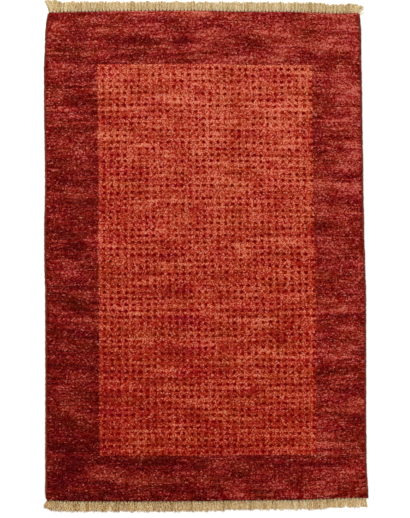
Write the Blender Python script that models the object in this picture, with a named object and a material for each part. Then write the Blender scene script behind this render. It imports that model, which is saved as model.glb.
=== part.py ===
"""Hand-knotted Pakistani rug with a plain border and a dotted field, lying flat.

The pieces are the knotted cloth, an overcast cord along each side, and a warp fringe at each end.
Units are metres and +Z is up. The rug lies on z = 0 with its middle at the origin, its length along
Y, its upper end towards +Y.
"""

import math
from collections import namedtuple

import bmesh
import bpy

MM = 0.001
GAP = 0.3 * MM  # between the cloth and its side cords
END_GAP = 0.45 * MM  # between the cloth and its end weaves, whose outlines have other points

# Heights above the floor
CLOTH_HEIGHT = 10.6 * MM  # cotton foundation with the cut pile on it
UNEVENNESS = 0.35 * MM  # how far the pile rises and sinks
BAND_SPACING = 173 * MM  # shallow bands across the rug, from uneven beating of the weft
BAND_WANDER = 210 * MM  # of width, over which a band drifts from a straight line
SLOW_LENGTH = 460 * MM  # a longer swell of the whole rug, along it and across it
SLOW_WIDTH = 710 * MM
BAND_SHARE = 0.6  # of the unevenness, the rest is the swell's
SIDE_CORD_HEIGHT = 5.5 * MM
END_WEAVE_HEIGHT = 2.2 * MM
TIP_HEIGHT = 1.2 * MM  # of a fringe bundle at its cut end

# Widths seen from above
SIDE_CORD_WIDTH = 6.0 * MM
END_WEAVE_WIDTH = 3.5 * MM  # flat strip of weft that locks the last row of knots
BUNDLE_PITCH = 9.3 * MM  # warps are gathered into a bundle at this spacing
ROOT_WIDTH = 6.6 * MM
BEND_WIDTH = 6.0 * MM
TIP_WIDTH = 4.4 * MM
BEND_SHARE = 0.55  # of a bundle's length, where it bends
BEND_SWING = 0.38  # of a tip's way sideways, how far the bend has gone

# How far the long sides stand from the middle line, cords included, from the upper end down.
SideRow = namedtuple("SideRow", "y left right")
SIDES = [
    SideRow(y * MM, left * MM, right * MM)
    for y, left, right in (
        (633.0, 409.5, 398.0),
        (616.0, 415.5, 402.5),
        (590.0, 418.0, 404.4),
        (555.0, 418.4, 404.4),
        (510.0, 421.0, 405.0),
        (400.0, 420.8, 407.0),
        (200.0, 418.4, 409.8),
        (60.0, 420.4, 412.2),
        (-20.0, 420.0, 414.8),
        (-110.0, 417.8, 417.4),
        (-400.0, 417.5, 417.6),
        (-540.0, 417.8, 418.6),
        (-596.0, 417.4, 421.0),
        (-616.0, 416.2, 421.0),
        (-629.0, 411.5, 419.5),
    )
]

# How far the pile's two ends stand from the middle, from the left side to the right.
EndRow = namedtuple("EndRow", "x upper lower")
ENDS = [
    EndRow(x * MM, upper * MM, lower * MM)
    for x, upper, lower in (
        (-409.0, 634.6, 631.5),
        (-396.0, 637.6, 636.6),
        (-370.0, 640.0, 640.0),
        (-240.0, 642.4, 640.6),
        (-100.0, 643.8, 640.2),
        (20.0, 643.4, 639.6),
        (60.0, 641.6, 638.2),
        (225.0, 640.6, 637.0),
        (285.0, 638.6, 635.4),
        (335.0, 636.4, 633.0),
        (370.0, 636.8, 631.6),
        (397.0, 634.2, 630.8),
        (417.0, 634.0, 630.2),
    )
]

# How far the fringe tips stand from the middle, before each bundle's own length.
TipRow = namedtuple("TipRow", "x upper lower")
TIPS = [
    TipRow(x * MM, upper * MM, lower * MM)
    for x, upper, lower in (
        (-410.0, 664.0, 660.0),
        (-380.0, 666.0, 667.0),
        (-150.0, 666.5, 667.5),
        (10.0, 666.0, 666.5),
        (70.0, 665.5, 662.5),
        (290.0, 664.0, 661.5),
        (330.0, 659.5, 656.5),
        (410.0, 657.0, 655.5),
    )
]
TIP_SPREAD = 1.8 * MM  # a bundle is cut up to this much longer or shorter than the line
SWAY = 0.9 * MM  # how far each of two slow waves along an end moves the tips sideways
BUNDLES_PER_SWAY = (11.4, 29.9)  # the two waves' lengths
BUNDLES_PER_CUT = (2.62, 7.0)  # likewise for the length of the bundles

# Corner bundles that stray: counted from their side, how far the tip swings out, and how much
# further than the others it reaches.
Stray = namedtuple("Stray", "end side order swing further")
STRAYS = [
    Stray(end, side, order, swing * MM, further * MM)
    for end, side, order, swing, further in (
        ("upper", "left", 0, 13.9, 5.0),
        ("upper", "left", 1, 8.2, 1.5),
        ("upper", "left", 2, 3.4, 0.0),
        ("upper", "right", 0, 17.5, -9.0),
        ("upper", "right", 1, 10.5, -2.5),
        ("upper", "right", 2, 5.0, 0.0),
        ("upper", "right", 3, 2.0, 0.0),
        ("lower", "left", 0, 11.9, -6.0),
        ("lower", "left", 1, 6.0, -1.0),
        ("lower", "left", 2, 2.4, 0.0),
        ("lower", "right", 0, 3.4, -1.5),
        ("lower", "right", 1, 1.6, 0.0),
    )
]

# The rim of the pile: the wall stands straight, then the tips of the tufts round over.
RimRow = namedtuple("RimRow", "inset height")
RIM = [
    RimRow(inset * MM, height * MM)
    for inset, height in ((0.0, 0.0), (0.0, 5.0), (0.5, 7.6), (1.8, 9.3), (4.4, 10.3))
]
RIM_WIDTH = 8.5 * MM  # from the outline to the full height

# Half of an overcast cord's section, from its foot to its crown, as shares of its half width and
# its height.
CORD_SECTION = ((0.70, 0.0), (1.0, 0.27), (1.0, 0.67), (0.57, 1.0))

SHARPEST_ROUND = math.radians(40)  # an edge that turns more than this stays sharp
CLOTH_CELLS_ACROSS = 22
CLOTH_CELLS_ALONG = 44  # shared with the side cords, so that they run parallel
CORNER_STEPS = (0.0, 0.005, 0.012, 0.022, 0.04)  # shares of the cloth, finer at its corners

# sRGB colours
WOOL_RED = (0.55, 0.20, 0.15)
CORD_RED = (0.53, 0.21, 0.16)
COTTON = (0.75, 0.64, 0.48)


def table_value(rows, key, column, place):
    """The value of a column between two rows of a table, eased so that the line bends softly."""
    rows = sorted(rows, key=lambda row: getattr(row, key))
    if place <= getattr(rows[0], key):
        return getattr(rows[0], column)
    for low, high in zip(rows, rows[1:]):
        start, stop = getattr(low, key), getattr(high, key)
        if place <= stop:
            share = (place - start) / (stop - start)
            eased = share * share * (3 - 2 * share)
            first, last = getattr(low, column), getattr(high, column)
            return first + (last - first) * eased
    return getattr(rows[-1], column)


def side_x(side, y):
    """The x of the rug's outline on a long side."""
    direction = -1 if side == "left" else 1
    return direction * table_value(SIDES, "y", side, y)


def end_y(end, x):
    """The y of the pile's outline at an end."""
    direction = -1 if end == "lower" else 1
    return direction * table_value(ENDS, "x", end, x)


def mix(first, last, share):
    """The point between two points."""
    return tuple(a + (b - a) * share for a, b in zip(first, last))


def wool(name, colour, roughness):
    """A plain matt yarn material in an sRGB colour."""
    material = bpy.data.materials.new(name)
    material.use_nodes = True
    shader = material.node_tree.nodes["Principled BSDF"]
    linear = [((c + 0.055) / 1.055) ** 2.4 for c in colour]
    shader.inputs["Base Color"].default_value = (*linear, 1.0)
    shader.inputs["Roughness"].default_value = roughness
    shader.inputs["Metallic"].default_value = 0.0
    return material


def add_object(name, bm, material, smooth):
    """Turns a bmesh into a named object with one material."""
    bmesh.ops.recalc_face_normals(bm, faces=bm.faces)
    mesh = bpy.data.meshes.new(name)
    bm.to_mesh(mesh)
    bm.free()
    mesh.materials.append(material)
    if smooth:
        mesh.shade_smooth()
        mesh.set_sharp_from_angle(angle=SHARPEST_ROUND)
    piece = bpy.data.objects.new(name, mesh)
    bpy.context.scene.collection.objects.link(piece)
    return piece


def cloth_corner(end, side):
    """A corner of the knotted cloth, inside the side cord."""
    row = SIDES[0] if end == "upper" else SIDES[-1]
    direction = -1 if side == "left" else 1
    x = direction * (getattr(row, side) - SIDE_CORD_WIDTH - GAP)
    return x, end_y(end, x)


CORNERS = {
    (end, side): cloth_corner(end, side) for end in ("upper", "lower") for side in ("left", "right")
}


def cloth_side(side, along):
    """A point on a long side of the cloth, from 0 at the lower end to 1 at the upper end."""
    direction = -1 if side == "left" else 1
    y = CORNERS["lower", side][1] * (1 - along) + CORNERS["upper", side][1] * along
    return side_x(side, y) - direction * (SIDE_CORD_WIDTH + GAP), y


def cloth_end(end, across):
    """A point on an end of the cloth, from 0 at the left side to 1 at the right side."""
    x = CORNERS[end, "left"][0] * (1 - across) + CORNERS[end, "right"][0] * across
    return x, end_y(end, x)


def cloth_point(across, along):
    """A point of the cloth, blended from its four edges."""
    between_ends = mix(cloth_end("lower", across), cloth_end("upper", across), along)
    between_sides = mix(cloth_side("left", along), cloth_side("right", along), across)
    lower = mix(CORNERS["lower", "left"], CORNERS["lower", "right"], across)
    upper = mix(CORNERS["upper", "left"], CORNERS["upper", "right"], across)
    corners = mix(lower, upper, along)
    return tuple(a + b - c for a, b, c in zip(between_ends, between_sides, corners))


def pile_height(x, y):
    """The height of the pile, with the shallow bands that hand beating leaves across the rug."""
    bands = math.sin(math.tau * y / BAND_SPACING + math.sin(x / BAND_WANDER))
    swell = math.sin(math.tau * (y / SLOW_LENGTH + x / SLOW_WIDTH))
    return CLOTH_HEIGHT + UNEVENNESS * (BAND_SHARE * bands + (1 - BAND_SHARE) * swell)


def spaced(cells):
    """Shares from 0 to 1, even in the middle and finer at both ends."""
    first = CORNER_STEPS[-1]
    middle = [first + (1 - 2 * first) * k / cells for k in range(1, cells)]
    return [*CORNER_STEPS, *middle, *(1 - share for share in reversed(CORNER_STEPS))]


def make_cloth():
    """The knotted cloth: a flat foot, a wall of pile at the rim and a gently uneven top."""
    bm = bmesh.new()
    width = CORNERS["lower", "right"][0] - CORNERS["lower", "left"][0]
    length = CORNERS["upper", "left"][1] - CORNERS["lower", "left"][1]
    across, along = spaced(CLOTH_CELLS_ACROSS), spaced(CLOTH_CELLS_ALONG)

    def inside(share_across, share_along, inset):
        """A point of the cloth, on the grid that is left when its rim is taken off."""
        off_x, off_y = inset / width, inset / length
        return cloth_point(
            off_x + share_across * (1 - 2 * off_x), off_y + share_along * (1 - 2 * off_y)
        )

    top = []
    for v in along:
        points = [inside(u, v, RIM_WIDTH) for u in across]
        top.append([bm.verts.new((x, y, pile_height(x, y))) for x, y in points])
    for low, high in zip(top, top[1:]):
        for k in range(len(across) - 1):
            bm.faces.new((low[k], low[k + 1], high[k + 1], high[k]))

    round_the_rim = [(u, 0.0) for u in across]
    round_the_rim += [(1.0, v) for v in along[1:]]
    round_the_rim += [(u, 1.0) for u in reversed(across[:-1])]
    round_the_rim += [(0.0, v) for v in reversed(along[1:-1])]
    rings = []
    for row in RIM:
        points = [inside(u, v, row.inset) for u, v in round_the_rim]
        rings.append([bm.verts.new((x, y, row.height)) for x, y in points])
    rings.append(
        top[0]
        + [line[-1] for line in top[1:]]
        + list(reversed(top[-1][:-1]))
        + [line[0] for line in reversed(top[1:-1])]
    )
    for low, high in zip(rings, rings[1:]):
        for k in range(len(low)):
            n = (k + 1) % len(low)
            bm.faces.new((low[k], low[n], high[n], high[k]))
    bm.faces.new(rings[0])
    return add_object("rug_pile", bm, wool("wool pile", WOOL_RED, 0.9), smooth=True)


def make_side_cord(side):
    """An overcast cord, which follows the rug's side from corner to corner."""
    bm = bmesh.new()
    half = SIDE_CORD_WIDTH / 2
    inward = 1 if side == "left" else -1
    ends = {}
    for end in ("lower", "upper"):
        x, y = CORNERS[end, side]
        at_outline = end_y(end, x - inward * (SIDE_CORD_WIDTH + GAP))
        ends[end] = min(y, at_outline, key=abs)
    section = [(share * half, rise * SIDE_CORD_HEIGHT) for share, rise in CORD_SECTION]
    section += [(-offset, rise) for offset, rise in reversed(section)]
    rings = []
    for along in spaced(CLOTH_CELLS_ALONG):
        y = cloth_side(side, along)[1]
        y = min(max(y, ends["lower"]), ends["upper"])
        middle = side_x(side, y) + inward * half
        rings.append([bm.verts.new((middle + offset, y, rise)) for offset, rise in section])
    for low, high in zip(rings, rings[1:]):
        for k in range(len(section)):
            n = (k + 1) % len(section)
            bm.faces.new((low[k], low[n], high[n], high[k]))
    bm.faces.new(rings[0])
    bm.faces.new(rings[-1])
    name = f"selvedge_{side}"
    return add_object(name, bm, wool(f"{side} overcast wool", CORD_RED, 0.8), smooth=True)


def bundle_tip(end, root, order, count):
    """Where a bundle's tip lies: its length and sway come from slow waves, its stray from a table."""
    direction = 1 if end == "upper" else -1
    reach = table_value(TIPS, "x", end, root)
    quick, slow = (math.tau * order / bundles for bundles in BUNDLES_PER_CUT)
    reach += TIP_SPREAD * math.sin(quick) * math.cos(slow + 1)
    x = root + sum(SWAY * math.sin(math.tau * order / bundles) for bundles in BUNDLES_PER_SWAY)
    for stray in STRAYS:
        from_side = order if stray.side == "left" else count - 1 - order
        if stray.end == end and stray.order == from_side:
            x += stray.swing * (-1 if stray.side == "left" else 1)
            reach += stray.further
    return x, direction * reach


def make_fringe(end):
    """The warps that run out of an end: a flat woven strip with a comb of bundles on it."""
    bm = bmesh.new()
    direction = 1 if end == "upper" else -1
    row = SIDES[0] if end == "upper" else SIDES[-1]
    start, stop = -row.left, row.right
    count = round((stop - start) / BUNDLE_PITCH)
    pitch = (stop - start) / count
    roots = [start + (order + 0.5) * pitch for order in range(count)]
    columns = [start]
    for root in roots:
        columns += [root - ROOT_WIDTH / 2, root + ROOT_WIDTH / 2]
    columns.append(stop)

    strip = []
    for x in columns:
        inner = end_y(end, x) + direction * END_GAP
        outer = inner + direction * END_WEAVE_WIDTH
        section = ((inner, 0.0), (inner, END_WEAVE_HEIGHT), (outer, END_WEAVE_HEIGHT), (outer, 0.0))
        strip.append([bm.verts.new((x, y, z)) for y, z in section])
    bm.faces.new(strip[0])
    bm.faces.new(strip[-1])
    for k, (one, two) in enumerate(zip(strip, strip[1:])):
        holds_bundle = k % 2 == 1
        for a, b in ((0, 1), (1, 2), (2, 3), (3, 0)):
            if holds_bundle and (a, b) == (2, 3):
                continue
            bm.faces.new((one[a], one[b], two[b], two[a]))

    for order, root in enumerate(roots):
        left, right = strip[1 + 2 * order], strip[2 + 2 * order]
        ring = [left[3], left[2], right[2], right[3]]
        base = end_y(end, root) + direction * (END_GAP + END_WEAVE_WIDTH)
        tip_x, tip_y = bundle_tip(end, root, order, count)
        bend_x = root + (tip_x - root) * BEND_SWING
        bend_y = base + (tip_y - base) * BEND_SHARE
        bend_height = (END_WEAVE_HEIGHT + TIP_HEIGHT) / 2
        stations = (
            (bend_x, bend_y, BEND_WIDTH, bend_height),
            (tip_x, tip_y, TIP_WIDTH, TIP_HEIGHT),
        )
        for x, y, wide, high in stations:
            corners = ((-0.5, 0.0), (-0.5, high), (0.5, high), (0.5, 0.0))
            following = [bm.verts.new((x + share * wide, y, z)) for share, z in corners]
            for k in range(4):
                n = (k + 1) % 4
                bm.faces.new((ring[k], ring[n], following[n], following[k]))
            ring = following
        bm.faces.new(ring)
    name = f"fringe_{end}"
    return add_object(name, bm, wool(f"{end} cotton warp", COTTON, 0.85), smooth=False)


def clear_scene():
    """Removes every object that the file opened with."""
    for old in list(bpy.data.objects):
        bpy.data.objects.remove(old, do_unlink=True)


def main():
    clear_scene()
    make_cloth()
    for side in ("left", "right"):
        make_side_cord(side)
    for end in ("upper", "lower"):
        make_fringe(end)


main()
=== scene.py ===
# %% [markdown]
# # A hand-knotted rug, from its frame to its fringe
# This lesson dresses a small Pakistani wool rug. The CAD frame gives its outline and size, and the
# cells below add what the eye reads: cut knots, dyed wool, overcast side cords and cotton fringe.

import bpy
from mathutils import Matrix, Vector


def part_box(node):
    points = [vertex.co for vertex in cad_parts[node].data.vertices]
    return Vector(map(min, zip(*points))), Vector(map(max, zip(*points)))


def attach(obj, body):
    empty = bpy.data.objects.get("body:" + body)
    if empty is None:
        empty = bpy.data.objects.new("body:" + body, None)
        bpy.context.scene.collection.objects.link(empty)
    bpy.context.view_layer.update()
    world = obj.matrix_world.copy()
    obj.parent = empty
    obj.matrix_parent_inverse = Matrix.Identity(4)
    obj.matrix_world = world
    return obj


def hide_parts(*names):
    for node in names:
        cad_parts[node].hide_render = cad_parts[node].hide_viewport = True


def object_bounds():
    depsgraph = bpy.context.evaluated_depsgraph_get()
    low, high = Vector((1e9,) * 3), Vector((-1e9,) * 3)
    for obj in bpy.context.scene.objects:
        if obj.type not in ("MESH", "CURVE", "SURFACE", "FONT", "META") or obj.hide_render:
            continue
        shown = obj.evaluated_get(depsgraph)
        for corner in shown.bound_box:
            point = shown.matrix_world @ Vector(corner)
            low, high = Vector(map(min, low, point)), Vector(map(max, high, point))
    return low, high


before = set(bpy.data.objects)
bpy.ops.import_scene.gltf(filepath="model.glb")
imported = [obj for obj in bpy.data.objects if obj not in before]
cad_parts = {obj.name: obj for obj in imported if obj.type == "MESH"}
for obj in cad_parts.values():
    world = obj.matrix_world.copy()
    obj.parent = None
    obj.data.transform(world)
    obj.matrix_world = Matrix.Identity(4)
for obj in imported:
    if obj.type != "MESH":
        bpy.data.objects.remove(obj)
cad_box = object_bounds()
print("CAD box in metres:", cad_box)

# %% Imports and units
import math
from collections import namedtuple

import bpy
import numpy as np
from mathutils import Vector

MM = 0.001
rng = np.random.default_rng(64)

# %% [markdown]
# ## Helpers
# Blender's operators act on whatever is selected, so each model starts with nothing selected.
# Shader sockets hold linear light, while colours are easier to think of as hex values, so one
# function turns the second into the first. One helper adds a node, sets it up and plugs it in, and
# another gives that node's first output. The last ones read, write and count a mesh.


# %% Helpers
def select_only(*chosen):
    """Selects these objects and nothing else, and makes the last of them active."""
    bpy.ops.object.select_all(action="DESELECT")
    for piece in chosen:
        piece.select_set(True)
        bpy.context.view_layer.objects.active = piece


def linear(hex_colour):
    """An sRGB hex colour as linear red, green, blue and alpha."""
    parts = [int(hex_colour[k : k + 2], 16) / 255 for k in (1, 3, 5)]
    return [c / 12.92 if c <= 0.04045 else ((c + 0.055) / 1.055) ** 2.4 for c in parts] + [1.0]


def add_node(tree, kind, inputs=None, **settings):
    """Adds a node. Its inputs are values, or sockets of other nodes, which are linked."""
    node = tree.nodes.new(kind)
    for name, value in settings.items():
        setattr(node, name, value)
    for key, value in (inputs or {}).items():
        if isinstance(value, bpy.types.NodeSocket):
            tree.links.new(value, node.inputs[key])
        else:
            node.inputs[key].default_value = value
    return node


def result(tree, kind, *values, **settings):
    """The first output of a new node, whose inputs are filled in their order."""
    return add_node(tree, kind, dict(enumerate(values)), **settings).outputs[0]


def new_material(name, roughness, specular, **even):
    """A material and its principled shader, whose even values are set on the shader itself."""
    material = bpy.data.materials.new(name)
    material.use_nodes = True
    shader = material.node_tree.nodes["Principled BSDF"]
    values = {"Roughness": roughness, "Specular IOR Level": specular, **even}
    for socket, value in values.items():
        shader.inputs[socket].default_value = value
    return material, shader


def set_ramp(node, stops):
    """Gives a colour ramp its stops, each a place from 0 to 1 and a hex colour."""
    elements = node.color_ramp.elements
    while len(elements) < len(stops):
        elements.new(0.5)
    for element, (place, colour) in zip(elements, stops):
        element.position = place
        element.color = linear(colour)


def mix(first, last, share):
    """A value between two others, for numbers and arrays."""
    return first + (last - first) * share


def points_of(piece):
    """The points of a mesh, one row each."""
    raw = np.empty(len(piece.data.vertices) * 3)
    piece.data.vertices.foreach_get("co", raw)
    return raw.reshape(-1, 3)


def set_points(piece, x, y, z):
    """Puts the points of a mesh in their places."""
    piece.data.vertices.foreach_set("co", np.stack(np.broadcast_arrays(x, y, z), axis=-1).ravel())
    piece.data.update()


def count_triangles(piece):
    """Prints how many triangles a piece has."""
    print(piece.name, "has", sum(len(face.vertices) - 2 for face in piece.data.polygons), "triangles")


# %% [markdown]
# ## Camera, floor and light
# The rug was photographed from straight above, square to the picture. A long lens from four metres
# keeps its sides as parallel as they are. The floor is white paper, and the light is two large soft
# boxes with a bright room around them, so that the pile shows its rows but casts no hard shadow.

# %% Camera
PICTURE = (410, 518)
MM_PER_PIXEL = 2.6176
RUG_MIDDLE_PIXEL = (205.75, 256.7)
CAMERA_HEIGHT = 4.2

picture_height = PICTURE[1] * MM_PER_PIXEL * MM
camera_data = bpy.data.cameras.new("above")
camera_data.sensor_width = 36
camera_data.lens = camera_data.sensor_width * CAMERA_HEIGHT / picture_height
camera = bpy.data.objects.new("above", camera_data)
bpy.context.scene.collection.objects.link(camera)
camera.location = (
    (PICTURE[0] / 2 - RUG_MIDDLE_PIXEL[0]) * MM_PER_PIXEL * MM,
    (RUG_MIDDLE_PIXEL[1] - PICTURE[1] / 2) * MM_PER_PIXEL * MM,
    cad_box[1][2] + CAMERA_HEIGHT,
)
bpy.context.scene.camera = camera
bpy.context.scene.view_settings.view_transform = "Standard"
print("lens in millimetres:", round(camera_data.lens, 1))

# %% Floor and lights
select_only()
bpy.ops.mesh.primitive_plane_add(size=14, location=(0, 0, 0))
floor = bpy.context.object
floor.name = "floor"
paper_look = {
    "Base Color": linear("#F7F7F5"), "Emission Color": (1, 1, 1, 1), "Emission Strength": 0.3
}
paper, _ = new_material("white paper", 1.0, 0.0, **paper_look)
floor.data.materials.append(paper)

for name, place, size, watts in (
    ("key", (-1.6, 2.6, 2.6), 2.0, 74.0), ("fill", (2.2, -1.2, 2.8), 2.4, 34.0)
):
    light = bpy.data.lights.new(name, "AREA")
    light.size = size
    light.energy = watts
    lamp = bpy.data.objects.new(name, light)
    bpy.context.scene.collection.objects.link(lamp)
    lamp.location = place
    lamp.rotation_euler = (-Vector(place)).to_track_quat("-Z", "Y").to_euler()
    lamp.visible_camera = False

room = bpy.data.worlds.new("bright room")
room.use_nodes = True
room.node_tree.nodes["Background"].inputs["Color"].default_value = (1, 1, 1, 1)
room.node_tree.nodes["Background"].inputs["Strength"].default_value = 0.5
bpy.context.scene.world = room

# %% [markdown]
# ## The outline of the cloth
# No hand-knotted rug is square: the weaver's tension changes from row to row. The frame already has
# that uneven outline, so it is read off the CAD cloth's foot and never typed again. A Coons patch
# then blends the four edges, so that every knot inside follows the edges around it.

# %% Read the four edges
HAIR = 0.02 * MM
CORNER_REACH = 9 * MM
CORNER_SQUARE = 0.8


def points_at(node, height):
    """The points of a CAD node at one height, each once."""
    points = points_of(node)
    level = points[np.abs(points[:, 2] - height) < HAIR]
    return np.unique(level.round(6), axis=0)


foot = points_at(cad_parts["rug_pile"], 0.0)[:, :2]


def corner(right, upper):
    """The corner of the foot that is furthest towards a diagonal."""
    return foot[np.argmax(foot @ np.array([right, upper]))]


def squared(start, chain, stop):
    """An edge that runs straight on over its last millimetres at each corner, as the tufts do."""
    along = 0 if np.ptp(chain[:, 0]) > np.ptp(chain[:, 1]) else 1
    place, off = chain[:, along], chain[:, 1 - along]
    kept = (place > start[along] + CORNER_REACH) & (place < stop[along] - CORNER_REACH)
    place, off = place[kept], off[kept]
    ends = []
    for corner_point, near, next_ in ((start, 0, 1), (stop, -1, -2)):
        slope = (off[near] - off[next_]) / (place[near] - place[next_])
        straight = off[near] + slope * (corner_point[along] - place[near])
        ends.append(mix(corner_point[1 - along], straight, CORNER_SQUARE))
    place = np.concatenate(([start[along]], place, [stop[along]]))
    off = np.concatenate(([ends[0]], off, [ends[1]]))
    return np.column_stack((place, off) if along == 0 else (off, place))


def edge(start, stop):
    """The foot's points from one corner to the next, anticlockwise."""
    angle = np.arctan2(foot[:, 1], foot[:, 0])
    first = math.atan2(start[1], start[0])
    span = (math.atan2(stop[1], stop[0]) - first) % math.tau
    turn = (angle - first) % math.tau
    turn[turn > math.tau - 1e-6] = 0
    inside = turn <= span + 1e-6
    return foot[inside][np.argsort(turn[inside])]


LOWER_LEFT, LOWER_RIGHT = corner(-1, -1), corner(1, -1)
UPPER_LEFT, UPPER_RIGHT = corner(-1, 1), corner(1, 1)
EDGES = {
    "right": squared(LOWER_RIGHT, edge(LOWER_RIGHT, UPPER_RIGHT), UPPER_RIGHT),
    "upper": squared(UPPER_LEFT, edge(UPPER_RIGHT, UPPER_LEFT)[::-1], UPPER_RIGHT),
    "left": squared(LOWER_LEFT, edge(UPPER_LEFT, LOWER_LEFT)[::-1], UPPER_LEFT),
    "lower": squared(LOWER_LEFT, edge(LOWER_LEFT, LOWER_RIGHT), LOWER_RIGHT),
}
CLOTH_WIDTH = float(np.mean(np.interp(np.linspace(-0.5, 0.5, 21), *EDGES["right"].T[::-1])
                            - np.interp(np.linspace(-0.5, 0.5, 21), *EDGES["left"].T[::-1])))
CLOTH_LENGTH = float(np.mean(np.interp(np.linspace(-0.35, 0.35, 21), *EDGES["upper"].T)
                             - np.interp(np.linspace(-0.35, 0.35, 21), *EDGES["lower"].T)))
print("cloth in metres:", round(CLOTH_WIDTH, 4), round(CLOTH_LENGTH, 4))


def side_x(side, y):
    """The x of the cloth's left or right edge."""
    return np.interp(y, EDGES[side][:, 1], EDGES[side][:, 0])


def end_y(end, x):
    """The y of the cloth's upper or lower edge."""
    return np.interp(x, EDGES[end][:, 0], EDGES[end][:, 1])


def cloth_place(u, v):
    """Where a share across and a share along the cloth lie, as arrays of x and y."""
    low_x = mix(LOWER_LEFT[0], LOWER_RIGHT[0], u)
    high_x = mix(UPPER_LEFT[0], UPPER_RIGHT[0], u)
    left_y = mix(LOWER_LEFT[1], UPPER_LEFT[1], v)
    right_y = mix(LOWER_RIGHT[1], UPPER_RIGHT[1], v)
    x = mix(side_x("left", left_y), side_x("right", right_y), u)
    y = mix(end_y("lower", low_x), end_y("upper", high_x), v)
    return x, y


# %% [markdown]
# ## Knots
# A pile rug is made row by row: each knot leaves a tuft about three millimetres wide, and a weft
# beaten down on the row locks it. One knot here is one cell of a grid, poked to give it a peak, so
# that the tufts are real bumps in the mesh. A mesh stays well under two hundred thousand triangles,
# so the pile is knotted in three bands, whose common rows share their points.

# %% Sizes of the pile
KNOTS_ACROSS = 261
KNOT_ROWS = 474
BAND_NAMES = ("rug_pile_lower", "rug_pile_middle", "rug_pile_upper")
BAND_ROWS = KNOT_ROWS // len(BAND_NAMES)
KNOT_WIDTH = CLOTH_WIDTH / KNOTS_ACROSS
ROW_HEIGHT = CLOTH_LENGTH / KNOT_ROWS
FOUNDATION_TOP = 2.0 * MM
PILE_TOP = 10.4 * MM
TUFT_RISE = 0.3 * MM
TUFT_SPREAD = 0.35 * MM
VALLEY = 0.15 * MM
RIM_ROUND = 4.2 * MM
SIDE_LEAN = 4.3 * MM
END_LEAN = 0.5 * MM
CORNER_LEAN = {"lower": (5.0 * MM, 4.0 * MM, 0.5 * MM), "upper": (1.2 * MM, 3.0 * MM, 3.2 * MM)}
CORNER_LEAN_REACH = 16 * MM
KNOT_WANDER = 0.22
RAGGED = 1.1
RAGGED_LEAN = 0.4
LEAN_POWER = 1.5
ROW_WANDER = 1.5 * MM
ROW_WAVES = ((0.94, 0.71, 1.0), (0.37, -0.29, 0.5))
WANDER_EASE = 60 * MM
BAND_PITCH, BAND_DRIFT, BAND_RISE = 173 * MM, 210 * MM, 0.2 * MM
LUMP_RISE = 0.7 * MM
print("knot in millimetres:", round(KNOT_WIDTH / MM, 2), "by", round(ROW_HEIGHT / MM, 2))

# %% Unevenness of the pile
LUMP_CELLS = (34, 52)
corner_random = rng.random((KNOT_ROWS + 1, KNOTS_ACROSS + 1, 3)) - 0.5
centre_random = rng.random((KNOT_ROWS, KNOTS_ACROSS, 3)) - 0.5
lump_random = rng.random((LUMP_CELLS[1] + 1, LUMP_CELLS[0] + 1)) - 0.5


def smooth_lumps(u, v):
    """Soft lumps a few centimetres wide, from -0.5 to 0.5: random values on a coarse net, eased."""
    across, along = u * LUMP_CELLS[0], v * LUMP_CELLS[1]
    i = np.clip(across.astype(int), 0, LUMP_CELLS[0] - 1)
    j = np.clip(along.astype(int), 0, LUMP_CELLS[1] - 1)
    s, t = across - i, along - j
    s, t = s * s * (3 - 2 * s), t * t * (3 - 2 * t)
    low = mix(lump_random[j, i], lump_random[j, i + 1], s)
    high = mix(lump_random[j + 1, i], lump_random[j + 1, i + 1], s)
    return mix(low, high, t)


def row_wander(x, y):
    """How far the rows drift off a straight line, in metres, and not at all at the two ends."""
    waves = [share * np.sin(math.tau * (x / wide + y / long)) for wide, long, share in ROW_WAVES]
    from_end = np.clip((CLOTH_LENGTH / 2 - np.abs(y)) / WANDER_EASE, 0, 1)
    return ROW_WANDER * sum(waves) * from_end


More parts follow.
